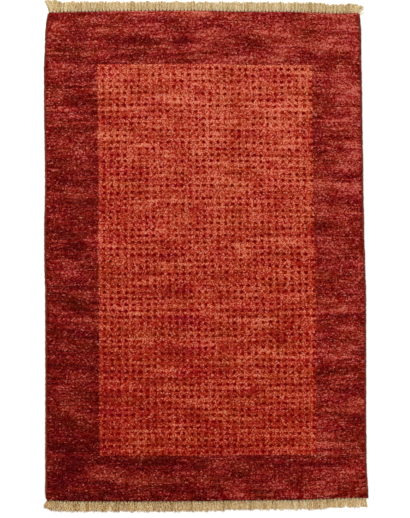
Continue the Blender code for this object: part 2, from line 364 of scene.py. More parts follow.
def knot_places(knot_x, knot_y, is_peak):
    """Places of corners and peaks of the knots, and how much of each belongs to the rim."""
    column = np.clip(knot_x, 0, KNOTS_ACROSS).astype(int)
    row = np.clip(knot_y, 0, KNOT_ROWS).astype(int)
    peak_column = np.minimum(column, KNOTS_ACROSS - 1)
    peak_row = np.minimum(row, KNOT_ROWS - 1)
    noise = np.where(
        is_peak[:, None], centre_random[peak_row, peak_column], corner_random[row, column]
    )
    inner = (knot_x > 0) & (knot_x < KNOTS_ACROSS) & (knot_y > 0) & (knot_y < KNOT_ROWS)
    u = (knot_x + noise[:, 0] * 2 * KNOT_WANDER * inner) / KNOTS_ACROSS
    v = (knot_y + noise[:, 1] * 2 * KNOT_WANDER * inner) / KNOT_ROWS
    x, y = cloth_place(u, v)
    y = y + row_wander(x, y)

    from_side = np.minimum(u, 1 - u) * CLOTH_WIDTH
    from_end = np.minimum(v, 1 - v) * CLOTH_LENGTH
    off_side = np.clip(1 - from_side / RIM_ROUND, 0, 1)
    off_end = np.clip(1 - from_end / RIM_ROUND, 0, 1)
    off = np.clip(np.hypot(off_side, off_end), 0, 1)
    rounded = RIM_ROUND * (1 - np.sqrt(1 - off**2))
    ragged = 1 + RAGGED * noise[:, 2]
    sideways, at_left, at_right = (
        np.where(v < 0.5, low, high) for low, high in zip(CORNER_LEAN["lower"], CORNER_LEAN["upper"])
    )
    flare = sideways * np.exp(-((from_end / CORNER_LEAN_REACH) ** 2))
    endways = np.where(u < 0.5, at_left, at_right) * np.exp(-((from_side / CORNER_LEAN_REACH) ** 2))
    side_lean = SIDE_LEAN * mix(1, ragged, RAGGED_LEAN) + flare
    x = x + np.where(u < 0.5, -1, 1) * off_side**LEAN_POWER * side_lean
    y = y + np.where(v < 0.5, -1, 1) * off_end**LEAN_POWER * (END_LEAN * ragged + endways)

    bands = np.sin(math.tau * y / BAND_PITCH + np.sin(x / BAND_DRIFT))
    height = PILE_TOP + BAND_RISE * bands + LUMP_RISE * smooth_lumps(u, v)
    peak = TUFT_RISE + TUFT_SPREAD * 2 * noise[:, 2]
    valley = -VALLEY + TUFT_SPREAD * noise[:, 2]
    height = height + np.where(is_peak, peak, valley) - rounded
    return x, y, height


# %% Knot the three bands
def select_boundary():
    """Selects the open edges of the mesh in edit mode."""
    bpy.ops.mesh.select_mode(type="EDGE")
    bpy.ops.mesh.select_all(action="DESELECT")
    bpy.ops.mesh.select_non_manifold(
        use_wire=False, use_boundary=True, use_multi_face=False, use_non_contiguous=False,
        use_verts=False,
    )


def write_uv(mesh, name, values):
    """Gives each point of the mesh its own u and v, in its one UV map."""
    corner_points = np.empty(len(mesh.loops), dtype=np.int32)
    mesh.loops.foreach_get("vertex_index", corner_points)
    layer = mesh.uv_layers[0] if mesh.uv_layers else mesh.uv_layers.new()
    layer.name = name
    layer.data.foreach_set("uv", values[corner_points].astype(np.float32).ravel())


def knot_band(name, first_row):
    """One band of rows, with a wall down to the foundation and a flat foot."""
    select_only()
    bpy.ops.mesh.primitive_grid_add(x_subdivisions=KNOTS_ACROSS, y_subdivisions=BAND_ROWS, size=1)
    band = bpy.context.object
    band.name = name
    band.data.name = name
    bpy.ops.object.mode_set(mode="EDIT")
    bpy.ops.mesh.select_all(action="SELECT")
    bpy.ops.mesh.poke()
    select_boundary()
    bpy.ops.mesh.extrude_edges_move(TRANSFORM_OT_translate={"value": (0, 0, -1)})
    bpy.ops.mesh.edge_face_add()
    bpy.ops.mesh.select_all(action="SELECT")
    bpy.ops.mesh.normals_make_consistent(inside=False)
    bpy.ops.object.mode_set(mode="OBJECT")

    flat = points_of(band)
    knot_x = np.round((flat[:, 0] + 0.5) * KNOTS_ACROSS * 2) / 2
    knot_y = np.round((flat[:, 1] + 0.5) * BAND_ROWS * 2) / 2 + first_row
    is_peak = knot_x % 1 == 0.5
    x, y, z = knot_places(knot_x, knot_y, is_peak)
    is_foot = flat[:, 2] < -0.5
    foot_x, foot_y = cloth_place(knot_x / KNOTS_ACROSS, knot_y / KNOT_ROWS)
    foot_y = foot_y + row_wander(foot_x, foot_y)
    x, y = np.where(is_foot, foot_x, x), np.where(is_foot, foot_y, y)
    set_points(band, x, y, np.where(is_foot, FOUNDATION_TOP, z))
    write_uv(band.data, "knots", np.column_stack((knot_x / KNOTS_ACROSS, knot_y / KNOT_ROWS)))
    bpy.ops.object.shade_smooth()
    count_triangles(band)
    return band


pile = [knot_band(name, k * BAND_ROWS) for k, name in enumerate(BAND_NAMES)]

# %% [markdown]
# ## The foundation
# Under the pile lies a plain weave of cotton warps and wefts, two millimetres thick, with the collar
# of each knot showing on the back. It is the one sheet of cloth that everything else sits on.

# %% Weave the foundation
FOUNDATION_CELLS = (60, 92)
HAIRLINE = 0.05 * MM

select_only()
bpy.ops.mesh.primitive_grid_add(
    x_subdivisions=FOUNDATION_CELLS[0], y_subdivisions=FOUNDATION_CELLS[1], size=1
)
foundation = bpy.context.object
foundation.name = "rug_foundation"
foundation.data.name = "rug_foundation"
shares = points_of(foundation)[:, :2] + 0.5
set_points(foundation, *cloth_place(*shares.T), FOUNDATION_TOP - HAIRLINE)
write_uv(foundation.data, "knots", shares)
solid = foundation.modifiers.new("thickness", "SOLIDIFY")
solid.thickness = FOUNDATION_TOP - HAIRLINE
solid.offset = -1
bpy.ops.object.modifier_apply(modifier="thickness")
bpy.ops.object.shade_flat()
count_triangles(foundation)

# %% [markdown]
# ## Dyed wool
# The wool is hand-spun and dyed with madder, so its red is never one colour. Each row is knotted
# from its own length of yarn, which runs lighter and darker along the row. Every few rows a new
# batch begins, which weavers call abrash. Single knots differ again, and a few pale fibres catch the
# light. One number, the tone, adds all this up, and two colour ramps turn it into the deep red of
# the border and the orange red of the field.

# %% Streaks of abrash placed one by one
Streak = namedtuple("Streak", "x y half_length half_height tone")
STREAKS = [
    Streak(x * MM, y * MM, half_length * MM, half_height * MM, tone)
    for x, y, half_length, half_height, tone in (
        (-180, 565, 180, 8, -0.20),
        (-328, 471, 44, 15, -0.24),
        (-328, 417, 44, 9, -0.22),
        (-348, -495, 66, 8, -0.26),
        (-120, -534, 200, 14, -0.12),
        (354, -300, 60, 11, -0.20),
        (354, -346, 60, 11, -0.20),
        (354, -419, 60, 10, -0.22),
        (330, -505, 90, 30, 0.08),
        (354, -330, 62, 190, 0.10),
        (354, 60, 62, 190, 0.02),
        (-354, 20, 62, 190, -0.035),
        (0, -590, 420, 40, 0.02),
        (-258, 609, 95, 7, -0.13),
        (0, 641, 420, 6, 0.2),
        (-200, -634, 260, 9, -0.12),
    )
]


def write_streaks(piece):
    """Stores at each point how much the listed streaks lift or drop the tone there."""
    x, y, _ = points_of(piece).T
    total = np.zeros(len(x))
    for streak in STREAKS:
        across = (x - streak.x) / streak.half_length
        along = (y - streak.y) / streak.half_height
        total += streak.tone * np.exp(-(across**4) - along**2)
    layer = piece.data.attributes.new("streaks", "FLOAT", "POINT")
    layer.data.foreach_set("value", total.astype(np.float32))


for piece in (*pile, foundation):
    write_streaks(piece)

# %% [markdown]
# ## Where a point lies among the knots
# The mesh carries the knots' own grid as its UV map, so one unit of the scaled map is one knot. The
# map is frayed a little before it is cut into cells, because tufts lean over their neighbours. White
# noise then gives each knot, each strand in it and each dot of the field a chance of its own.

# %% Sizes of the pattern, in knots
REPEAT = 6
FIELD_LEFT, FIELD_RIGHT = 42, 222
FIELD_LOWER, FIELD_UPPER = 44, 423
FIRST_DOT = (2.3, 0.9)
FRAY_SCALE = 1.2
KNOT_FRAY = (1.5, 1.3)
DOT_FRAY = (1.6, 1.4)
STRANDS_A_KNOT = (1.0, 1.4)
MATH, VECTOR = "ShaderNodeMath", "ShaderNodeVectorMath"
KnotMap = namedtuple("KnotMap", "x y across along column row dots dot_column dot_row chance")


# %% Find the knot
def frayed(tree, knots, noise, amount):
    """The knots' map with its points pushed about by up to half of an amount, in knots."""
    push = result(
        tree, VECTOR, noise, (*amount, 0), (-amount[0] / 2, -amount[1] / 2, 0),
        operation="MULTIPLY_ADD",
    )
    return result(tree, VECTOR, knots, push, operation="ADD")


def knot_map(tree):
    """Nodes for where a point lies among knots and dots, and for the chance of each cell."""
    uv = add_node(tree, "ShaderNodeUVMap", uv_map="knots").outputs["UV"]
    knots = result(tree, VECTOR, uv, (KNOTS_ACROSS, KNOT_ROWS, 0), operation="MULTIPLY")
    noise = add_node(
        tree, "ShaderNodeTexNoise", {"Vector": knots, "Scale": FRAY_SCALE, "Detail": 1.0},
        noise_dimensions="2D",
    ).outputs["Color"]
    leaning = frayed(tree, knots, noise, KNOT_FRAY)
    strands = result(tree, VECTOR, leaning, (*STRANDS_A_KNOT, 0), operation="MULTIPLY")
    origin = (0.5 - FIELD_LEFT - FIRST_DOT[0], 0.5 - FIELD_UPPER + FIRST_DOT[1], 0)
    dots = result(tree, VECTOR, frayed(tree, knots, noise, DOT_FRAY), origin, operation="ADD")
    dots = result(tree, VECTOR, dots, (1 / REPEAT, 1 / REPEAT, 0), operation="MULTIPLY")

    cells = {
        name: result(tree, VECTOR, place, operation="FLOOR")
        for name, place in (("knot", leaning), ("strand", strands), ("dot", dots))
    }
    for name, step in (("left", -1), ("right", 1)):
        cells[name] = result(tree, VECTOR, cells["knot"], (step, 0, 0), operation="ADD")
    chance = {
        name: add_node(tree, "ShaderNodeTexWhiteNoise", {"Vector": cell}, noise_dimensions="2D")
        for name, cell in cells.items()
    }
    parts = [
        part
        for vector in (knots, uv, cells["knot"], cells["dot"])
        for part in add_node(tree, "ShaderNodeSeparateXYZ", {0: vector}).outputs[:2]
    ]
    return KnotMap(*parts[:6], dots, *parts[6:], chance)


# %% [markdown]
# ## The slow changes of the tone
# The tone is a sum of many small causes, and each is a value around a half with its share. The slow
# ones are these: the whole rug is darker towards its lower left, each row has its own yarn, a batch
# spans a few rows, and wide patches and the streaks lie over them all.

# %% Add up the slow changes
YARN_SPAN = (17.0, 1 / 7.31)  # knots and rows: below one, no two rows look alike
BATCH_SPAN = (70.0, 3.6)
PATCH_SPAN = (30.0, 15.0)
ALONG_SHARE, ACROSS_SHARE = 0.19, 0.15
YARN_SHARE, BATCH_SHARE, PATCH_SHARE = 0.72, 0.58, 0.88


def total(tree, start, *terms):
    """The sum of a start and of terms, each a value around a half and its share."""
    for value, share in terms:
        around = result(tree, MATH, value, 0.5, operation="SUBTRACT")
        start = result(tree, MATH, around, share, start, operation="MULTIPLY_ADD")
    return start


def drift(tree, x, y, span, detail=2.0):
    """A value from about 0 to 1 that drifts as x and y do, each over its own span."""
    place = result(tree, "ShaderNodeCombineXYZ", x, y)
    place = result(tree, VECTOR, place, (*span, 1), operation="DIVIDE")
    return add_node(
        tree, "ShaderNodeTexNoise", {"Vector": place, "Scale": 1.0, "Detail": detail},
        noise_dimensions="2D",
    ).outputs["Fac"]


def slow_tone(tree, knots):
    """The slow part of the tone, around 0."""
    streaks = add_node(tree, "ShaderNodeAttribute", attribute_name="streaks").outputs["Fac"]
    return total(
        tree, streaks, (knots.along, ALONG_SHARE), (knots.across, ACROSS_SHARE),
        (drift(tree, knots.x, knots.row, YARN_SPAN), YARN_SHARE),
        (drift(tree, knots.x, knots.y, BATCH_SPAN), BATCH_SHARE),
        (drift(tree, knots.x, knots.y, PATCH_SPAN, detail=4.0), PATCH_SHARE),
    )


# %% [markdown]
# ## The grain, which changes from knot to knot
# Knots and strands are lighter or darker by chance, and a few pale strands carry a painted highlight.
# Wool fibres are a fiftieth of a millimetre thick, too fine to show, so they are drawn as clumps of
# some three millimetres that lie along the rows. They bend into curls, which are the thin lines where
# a slow noise crosses its middle. In the field the knots stand out more, so its grain is crisper.

# %% Add up the grain
FIBRE_CLUMP = 3.4 * MM
FIBRE_STRETCH = (0.8, 1.2, 1.0)
CURL_SIZE = 7.0 * MM
CURL_LINE = 0.045
PALE_YARN_SPAN = (8.0, 1 / 3.17)
PALE_YARN_RANGE = (0.62, 0.74)
GRAIN_MIDDLE = 0.61
KNOT_SHARE, STRAND_SHARE, FIBRE_SHARE, CURL_SHARE, PALE_YARN_SHARE = 0.42, 0.26, 0.8, 0.2, 0.16
CRISP_SHARES = {"knot": 0.22, "left": -0.16, "right": -0.16}
PALE_HIGHLIT_STRANDS_FROM, PALE_HIGHLIT_STRAND_SHARE = 0.95, 0.3


def noise_over(tree, size, stretch=(1, 1, 1), **inputs):
    """Noise whose lumps have a real size, on the piece's own coordinates."""
    place = add_node(tree, "ShaderNodeTexCoord").outputs["Object"]
    place = result(tree, VECTOR, place, stretch, operation="MULTIPLY")
    inputs = {"Vector": place, "Scale": 1 / size, **inputs}
    return add_node(tree, "ShaderNodeTexNoise", inputs).outputs["Fac"]


def grain_tone(tree, knots):
    """The fine part of the tone, for the border and for the field, and the fibres on their own."""
    fibre = noise_over(tree, FIBRE_CLUMP, FIBRE_STRETCH, Detail=1.5, Roughness=0.6)
    slow = noise_over(tree, CURL_SIZE)
    off_line = result(tree, MATH, slow, 0.5, operation="SUBTRACT")
    off_line = result(tree, MATH, off_line, operation="ABSOLUTE")
    pale_yarn = drift(tree, knots.x, knots.row, PALE_YARN_SPAN)
    curl, pale_yarn = (
        add_node(
            tree, "ShaderNodeMapRange", {"Value": value, "From Min": low, "From Max": high},
            interpolation_type="SMOOTHSTEP",
        ).outputs[0]
        for value, low, high in ((off_line, CURL_LINE, 0.0), (pale_yarn, *PALE_YARN_RANGE))
    )
    chance = {name: node.outputs["Value"] for name, node in knots.chance.items()}
    grain = total(
        tree, GRAIN_MIDDLE, (chance["knot"], KNOT_SHARE), (chance["strand"], STRAND_SHARE),
        (fibre, FIBRE_SHARE), (curl, CURL_SHARE), (pale_yarn, PALE_YARN_SHARE),
    )
    crisp = total(tree, grain, *((chance[name], share) for name, share in CRISP_SHARES.items()))
    # A few strands are lifted pale: paler fibres with a painted highlight.
    pale_highlit = result(tree, MATH, chance["strand"], PALE_HIGHLIT_STRANDS_FROM, operation="GREATER_THAN")
    grain, crisp = (
        result(tree, MATH, pale_highlit, PALE_HIGHLIT_STRAND_SHARE, tone, operation="MULTIPLY_ADD")
        for tone in (grain, crisp)
    )
    return grain, crisp, fibre


# %% [markdown]
# ## The field and its dots
# The dots are a chart of six by six knots, in which a tuft of some three by three drops the tone.
# Each dot wanders a little. Some are strong and some have almost faded, as the dark yarn varied too.

# %% Chart the dots
DOT_HALF = (1.65, 1.65)
DOT_WANDER = (0.2, 0.14)
DOT_EDGE = (0.5, 1.25)
FADING_SPAN = (6.0, 1 / 3.7)
DOT_STRENGTH, FADING_SHARE, DOT_CHANCE_SHARE, FAINTEST_DOT = 0.56, 1.6, 0.5, 0.12


def outside(tree, value, low, high):
    """How far a knot lies outside a stretch of columns or rows."""
    off = result(tree, MATH, value, (low + high - 1) / 2, operation="SUBTRACT")
    off = result(tree, MATH, off, operation="ABSOLUTE")
    return result(tree, MATH, off, (high - low) / 2, operation="SUBTRACT")


def field_share(tree, knots):
    """Is 1 for a knot of the field and 0 for one of the border."""
    off_side = outside(tree, knots.column, FIELD_LEFT, FIELD_RIGHT)
    off_end = outside(tree, knots.row, FIELD_LOWER, FIELD_UPPER)
    furthest = result(tree, MATH, off_side, off_end, operation="MAXIMUM")
    return result(tree, MATH, furthest, 0.0, operation="LESS_THAN")


def dot_tone(tree, knots):
    """How far the dots drop the tone of the field."""
    chance = knots.chance["dot"].outputs
    to_middle = (-0.5 - DOT_WANDER[0] / 2, -0.5 - DOT_WANDER[1] / 2, 0)
    shift = result(
        tree, VECTOR, chance["Color"], (*DOT_WANDER, 0), to_middle, operation="MULTIPLY_ADD"
    )
    inside = result(tree, VECTOR, knots.dots, operation="FRACTION")
    inside = result(tree, VECTOR, inside, shift, operation="ADD")
    size = (REPEAT / DOT_HALF[0], REPEAT / DOT_HALF[1], 0)
    inside = result(tree, VECTOR, inside, size, operation="MULTIPLY")
    from_dot = add_node(tree, VECTOR, {0: inside}, operation="LENGTH").outputs["Value"]
    dot = add_node(
        tree, "ShaderNodeMapRange",
        {"Value": from_dot, "From Min": DOT_EDGE[0], "From Max": DOT_EDGE[1], "To Min": 1.0,
         "To Max": 0.0},
        interpolation_type="SMOOTHSTEP",
    ).outputs[0]
    fading = drift(tree, knots.dot_column, knots.dot_row, FADING_SPAN)
    strength = total(
        tree, DOT_STRENGTH, (fading, FADING_SHARE), (chance["Value"], DOT_CHANCE_SHARE)
    )
    strength = result(tree, MATH, strength, FAINTEST_DOT, operation="MAXIMUM")
    return result(tree, MATH, dot, strength, operation="MULTIPLY")


# %% [markdown]
# ## From tone to colour
# Two ramps turn the tone into the deep red of the border and the orange red of the field. The slow
# changes are deep in colour, so the saturation rises with them, and it falls with the grain, which
# whitens the light knots as a painted highlight. Madder also leans towards orange in one batch and
# towards pink in the next.

# %% Colour the wool
BORDER_WOOL = (
    (0.0, "#470201"), (0.2, "#5B0503"), (0.4, "#740D08"), (0.6, "#912219"), (0.8, "#AD3A30"),
    (1.0, "#D26E5E"),
)
FIELD_WOOL = (
    (0.0, "#6E0200"), (0.2, "#8A0700"), (0.4, "#9C1A0C"), (0.6, "#B73722"), (0.8, "#CD573C"),
    (1.0, "#E88A70"),
)
FIELD_LIFT, FIELD_SLOW_SHARE, FIELD_ALONG_SHARE = 0.095, 0.8, 0.13
HUE_SPAN, HUE_SHARE, KNOT_HUE_SHARE = (34.0, 13.0), 0.014, 0.008
SATURATION_ACROSS, SATURATION_ALONG, SATURATION_SLOW = 0.004, -0.006, 0.05
# Paling whitens the lighter knots of the grain: a painted highlight.
BORDER_HIGHLIGHT_PALING, FIELD_HIGHLIGHT_PALING = -0.12, -0.02


def wool_colour(tree):
    """Nodes for the dyed wool. Gives the colour, the fibres and where they lie among the knots."""
    knots = knot_map(tree)
    slow_change = slow_tone(tree, knots)
    grain, crisp, fibre = grain_tone(tree, knots)
    in_field = field_share(tree, knots)
    slow_from_half = result(tree, MATH, slow_change, 0.5, operation="ADD")

    border_tone = result(tree, MATH, slow_change, grain, operation="ADD")
    field_tone = total(
        tree, crisp, (slow_from_half, FIELD_SLOW_SHARE), (knots.along, FIELD_ALONG_SHARE)
    )
    field_tone = result(tree, MATH, field_tone, dot_tone(tree, knots), operation="SUBTRACT")
    field_tone = result(tree, MATH, field_tone, FIELD_LIFT, operation="ADD")
    ramps = []
    for tone, stops in ((border_tone, BORDER_WOOL), (field_tone, FIELD_WOOL)):
        ramp = add_node(tree, "ShaderNodeValToRGB", {0: tone})
        set_ramp(ramp, stops)
        ramps.append(ramp.outputs["Color"])
    colour = add_node(
        tree, "ShaderNodeMix", {"Factor": in_field, 6: ramps[0], 7: ramps[1]}, data_type="RGBA"
    ).outputs[2]

    batch_hue = drift(tree, knots.x, knots.y, HUE_SPAN)
    knot_hue = add_node(tree, "ShaderNodeSeparateColor", {0: knots.chance["knot"].outputs["Color"]})
    hue = total(tree, 0.5, (batch_hue, HUE_SHARE), (knot_hue.outputs[1], KNOT_HUE_SHARE))
    # The saturation falls with the grain, so light knots whiten: a painted highlight.
    highlight_paling = result(
        tree, MATH, in_field, FIELD_HIGHLIGHT_PALING - BORDER_HIGHLIGHT_PALING, BORDER_HIGHLIGHT_PALING, operation="MULTIPLY_ADD"
    )
    saturation = total(
        tree, 1.0, (knots.across, SATURATION_ACROSS), (knots.along, SATURATION_ALONG),
        (slow_from_half, SATURATION_SLOW),
    )
    off_grain = result(tree, MATH, grain, 0.5, operation="SUBTRACT")
    saturation = result(tree, MATH, off_grain, highlight_paling, saturation, operation="MULTIPLY_ADD")
    colour = add_node(
        tree, "ShaderNodeHueSaturation", {"Hue": hue, "Saturation": saturation, "Color": colour}
    ).outputs["Color"]
    return colour, fibre, knots


# %% [markdown]
# ## Cut wool
# Wool scatters light in its depth and hardly shines, so its specular level is almost nothing. A thin
# red sheen gives the soft rim that a pile shows when it is seen along the floor. The tufts are real
# bumps in the mesh, so the fibres add only a faint bump of their own.


# %% Cut wool pile
def dress(tree, shader, colour, height, depth, strength):
    """Gives a shader its colour, and a relief whose height goes over a real depth."""
    tree.links.new(colour, shader.inputs["Base Color"])
    bump = {"Height": height, "Distance": depth, "Strength": strength}
    tree.links.new(
        add_node(tree, "ShaderNodeBump", bump).outputs["Normal"], shader.inputs["Normal"]
    )


wool_sheen = {"Sheen Weight": 0.03, "Sheen Roughness": 0.5, "Sheen Tint": linear("#F06040")}
cut_wool, wool_shader = new_material("hand-knotted madder wool", 0.95, 0.01, **wool_sheen)
colour, fibre, _ = wool_colour(cut_wool.node_tree)
dress(cut_wool.node_tree, wool_shader, colour, fibre, depth=0.5 * MM, strength=0.2)
for band in pile:
    band.data.materials.append(cut_wool)
print("cut wool:", len(cut_wool.node_tree.nodes), "nodes")

# %% [markdown]
# ## The back of the cloth
# Turned over, the rug shows the same pattern as flat collars of wool, one row after another, with a
# thin line of cotton weft between two rows. It is duller than the pile and doesn't shine at all.

# %% Knot collars and wefts
COLLAR_HALF = 0.32

knot_back, back_shader = new_material("knot collars and cotton wefts", 0.9, 0.05)
tree = knot_back.node_tree
colour, fibre, knots = wool_colour(tree)
row_share = result(tree, MATH, knots.y, operation="FRACT")
collar = result(tree, MATH, row_share, 0.5, COLLAR_HALF, operation="COMPARE")
back_colour = add_node(
    tree, "ShaderNodeMix", {"Factor": collar, 6: linear("#A88B62"), 7: colour}, data_type="RGBA"
).outputs[2]
dress(tree, back_shader, back_colour, collar, depth=0.6 * MM, strength=0.8)
foundation.data.materials.append(knot_back)

# %% [markdown]
# ## Overcast side cords
# Along each side a thick cord of warps is wound round and round with wool, which binds the edge.
# The turns are real ridges here, a little over two millimetres apart and slightly slanted. The pile
# flares out over them, so that only their outer half shows from above.

# %% Wind the side cords
CORD_WIDTH = 8.0 * MM
CORD_HEIGHT = 5.4 * MM
CORD_GAP = 2.0 * MM
TURN_PITCH = 2.3 * MM
STEPS_PER_TURN = 4
CORD_SIDES = 10
TURN_DEPTH = 0.32 * MM
TURN_SLANT = 0.22
CORD_CROWN = 1.12
TENSION = (0.5, 1.5)
WAVE_STATIONS = 9
CORD_WAVE = 0.5 * MM
CORD_OVER = 3 * MM
CORD_SPLAY = 2.4 * MM
CORD_SPLAY_REACH = 35 * MM


def wound_cord(side):
    """A cord along one side: rings of points, pressed flat at the floor and ridged by the yarn."""
    low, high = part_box(f"selvedge_{side}")
    inward = 1 if side == "left" else -1
    stations = int((high[1] - low[1]) / TURN_PITCH * STEPS_PER_TURN)
    along = np.linspace(low[1] - CORD_OVER, high[1] + CORD_OVER, stations)
    turns = along / TURN_PITCH
    marks = np.linspace(turns[0], turns[-1], stations // WAVE_STATIONS)
    wave = np.interp(turns, marks, rng.uniform(-1, 1, len(marks))) * CORD_WAVE
    splay = CORD_SPLAY * np.exp(-(((along - low[1]) / CORD_SPLAY_REACH) ** 2))
    middle = side_x(side, along) - inward * (CORD_GAP + CORD_WIDTH / 2 + splay) + wave
    tension = np.interp(turns, marks, rng.uniform(*TENSION, len(marks)))
    rings = []
    for k in range(CORD_SIDES):
        angle = math.tau * (k + 0.5) / CORD_SIDES
        phase = turns + TURN_SLANT * math.cos(angle) * inward
        ridge = np.abs(np.sin(math.pi * phase)) * TURN_DEPTH * tension
        x = middle + math.cos(angle) * (CORD_WIDTH / 2 - TURN_DEPTH + ridge)
        z = CORD_HEIGHT / 2 + math.sin(angle) * CORD_CROWN * (CORD_HEIGHT / 2 - TURN_DEPTH + ridge)
        rings.append(np.column_stack((x, along, np.clip(z, 0.0, CORD_HEIGHT))))
    return np.stack(rings, axis=1)


def mesh_from_rings(name, rings, uv=None):
    """Closed tubes in one mesh, from an array of tube, station, point round the ring, and xyz."""
    tubes, stations, sides, _ = rings.shape
    first = np.arange(tubes)[:, None, None] * stations * sides
    station = np.arange(stations - 1)[None, :, None] * sides
    here = np.arange(sides)[None, None, :]
    after = (here + 1) % sides
    walls = np.stack(
        [first + station + here, first + station + after, first + station + sides + after,
         first + station + sides + here], axis=-1,
    ).reshape(-1, 4)
    start_cap = (first + np.arange(sides)[::-1]).reshape(-1, sides)
    end_cap = (first + (stations - 1) * sides + np.arange(sides)).reshape(-1, sides)
    mesh = bpy.data.meshes.new(name)
    faces = walls.tolist() + start_cap.tolist() + end_cap.tolist()
    mesh.from_pydata(rings.reshape(-1, 3).tolist(), [], faces)
    mesh.polygons.foreach_set("use_smooth", [True] * len(mesh.polygons))
    if uv is not None:
        write_uv(mesh, "yarn", uv.reshape(-1, 2))
    piece = bpy.data.objects.new(name, mesh)
    bpy.context.scene.collection.objects.link(piece)
    select_only(piece)
    bpy.ops.object.mode_set(mode="EDIT")
    bpy.ops.mesh.select_all(action="SELECT")
    bpy.ops.mesh.normals_make_consistent(inside=False)
    bpy.ops.object.mode_set(mode="OBJECT")
    count_triangles(piece)
    return piece


cords = {side: mesh_from_rings(f"overcast_{side}", wound_cord(side)[None]) for side in ("left", "right")}


# %% [markdown]
# ## Yarns
# The cords are wound with wool of a duller, browner red, which fades in soft patches of a few
# millimetres. Fibres stand out of every yarn as a fine bump, and keep it from looking like plastic.

# %% Overcast wool
FIBRE_DEPTH_SHARE = 0.5


def finish_yarn(material, shader, tone, stops, fibre_size, depth):
    """Turns a tone into a yarn's colour, and its fibres into a fine bump."""
    tree = material.node_tree
    ramp = add_node(tree, "ShaderNodeValToRGB", {0: tone})
    set_ramp(ramp, stops)
    fibres = noise_over(tree, fibre_size)
    dress(tree, shader, ramp.outputs["Color"], fibres, depth, FIBRE_DEPTH_SHARE)


def wool_yarn(name, stops, patch_size, depth):
    """Wool yarn that fades in patches."""
    material, shader = new_material(name, 0.9, 0.05)
    patches = noise_over(material.node_tree, patch_size, Detail=3.0, Roughness=0.65)
    finish_yarn(material, shader, patches, stops, fibre_size=0.6 * MM, depth=depth)
    return material


overcast_wool = wool_yarn(
    "overcast wool yarn",
    ((0.3, "#54190F"), (0.45, "#752C1C"), (0.6, "#8C3A27"), (0.75, "#A8563C")),
    patch_size=9.0 * MM, depth=0.3 * MM,
)
for cord in cords.values():
    cord.data.materials.append(overcast_wool)
print("cords dressed in", overcast_wool.name)

# %% [markdown]
# ## Fringe
# The fringe is the warps themselves. At each end a few rows of plain weft lock the last knots, and
# the warps run on in small bundles, are cut an inch long, and fray. Each bundle follows its CAD
# bundle. It holds three warps of nine thin plies, which twist together at the root and come apart
# towards the cut. The plies are one joined mesh from arrays, with only four sides each.

# %% Read the bundles
ROOT_TOP = 2.2 * MM
TIP_TOP = 1.2 * MM
Bundles = namedtuple("Bundles", "root bend tip")


def bundles_of(end):
    """The root, bend and tip of each CAD bundle, from left to right."""
    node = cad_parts[f"fringe_{end}"]
    strip = points_at(node, ROOT_TOP)
    strip = strip[np.lexsort((-np.abs(strip[:, 1]), strip[:, 0].round(4)))]
    _, outermost = np.unique(strip[:, 0].round(4), return_index=True)
    outer = strip[outermost][1:-1]

    def middles(points):
        """The middle of each pair of points, from left to right."""
        points = points[np.argsort(points[:, 0])]
        return (points[0::2, :2] + points[1::2, :2]) / 2

    bends = points_at(node, (ROOT_TOP + TIP_TOP) / 2)
    return Bundles(middles(outer), middles(bends), middles(points_at(node, TIP_TOP)))


bundles = {end: bundles_of(end) for end in ("upper", "lower")}
for end, found in bundles.items():
    print(end, "bundles:", len(found.root), len(found.bend), len(found.tip))

# %% Sizes of the plies
WARPS = 3
PLIES = 9
BED_PLIES = 3
STATIONS = 8
PLY_SIDES = 4
BEND_SHARE = 0.55
BUNDLE_PITCH = 9.3 * MM
BED_START = 1.4 * MM
BED_DEPTH, PLY_DEPTH = (0, 0.25), (0.3, 1)
BED_WANDER = 0.08
BED_LEAN = 0.4
BED_THICKER = 1.35
SPREAD_START, SPREAD_SHARE = 0.1, 0.22
TIP_SPAN = (8 * MM, 12 * MM)
BUNDLE_WANDER, WARP_WANDER = 0.9 * MM, 0.5 * MM
LEAN_CURVE = 1.3
TWIST_TURNS, CURL_TURNS = 1.6, 1.4
ANY_PHASE = 7
BED_COIL, ROOT_COIL, TIP_COIL = 0.15 * MM, 0.5 * MM, 0.8 * MM
COIL_FLAT = 0.4
LOOSENING = 1.4
LENGTH_SPREAD = 0.03
CUT_SPREAD = (-0.9, 0.5)
STRAY = 4.5 * MM
STRAY_RARITY = 9
ROOT_HUMP, HUMP_PLACE, HUMP_REACH = 2.4 * MM, 0.1, 0.13
HEAP, HEAP_SINK, FLOOR_GAP = 2.2 * MM, 0.35, 0.2 * MM
TAPER = (0.9, 0.4)
# The bed's lower tint is painted shade between the warps.
BED_SHADE_TINT, PLY_TINT, WARP_TINT_SPREAD, PLY_TINT_SPREAD = 0.2, 0.3, 0.3, 0.35
# Near their roots the plies are tinted lighter: a painted highlight.
ROOT_PAINTED_HIGHLIGHT, PAINTED_HIGHLIGHT_REACH = 0.3, 0.16
PALE_FROM = 400 * MM
REACH = {
    "upper": ((-430, 0), (350, 0), (392, 6), (412, 13)),
    "lower": ((-420, 7), (-403, 5), (-388, 0), (430, 0)),
}
Style = namedtuple("Style", "longer radius root_span fan ragged lean curl start_gap paler_right")
STYLES = {
    "upper": Style(longer=1.1, radius=0.55, root_span=5.8, fan=1.1, ragged=3.2, lean=1.7, curl=0.4,
                   start_gap=0.4, paler_right=0.0),
    "lower": Style(longer=1.05, radius=0.58, root_span=6.6, fan=1.1, ragged=3.4, lean=5.0, curl=0.9,
                   start_gap=0.4, paler_right=0.14),
}


# %% Ply the warps
def rings_along(path, radius):
    """Square rings of points along each path, all upright across the rug's length."""
    angle = math.tau * (np.arange(PLY_SIDES) + 0.5) / PLY_SIDES
    ring = np.stack((np.cos(angle), np.zeros(PLY_SIDES), np.sin(angle)), axis=-1)
    return path[:, :, None, :] + radius[..., None, None] * ring[None, None]


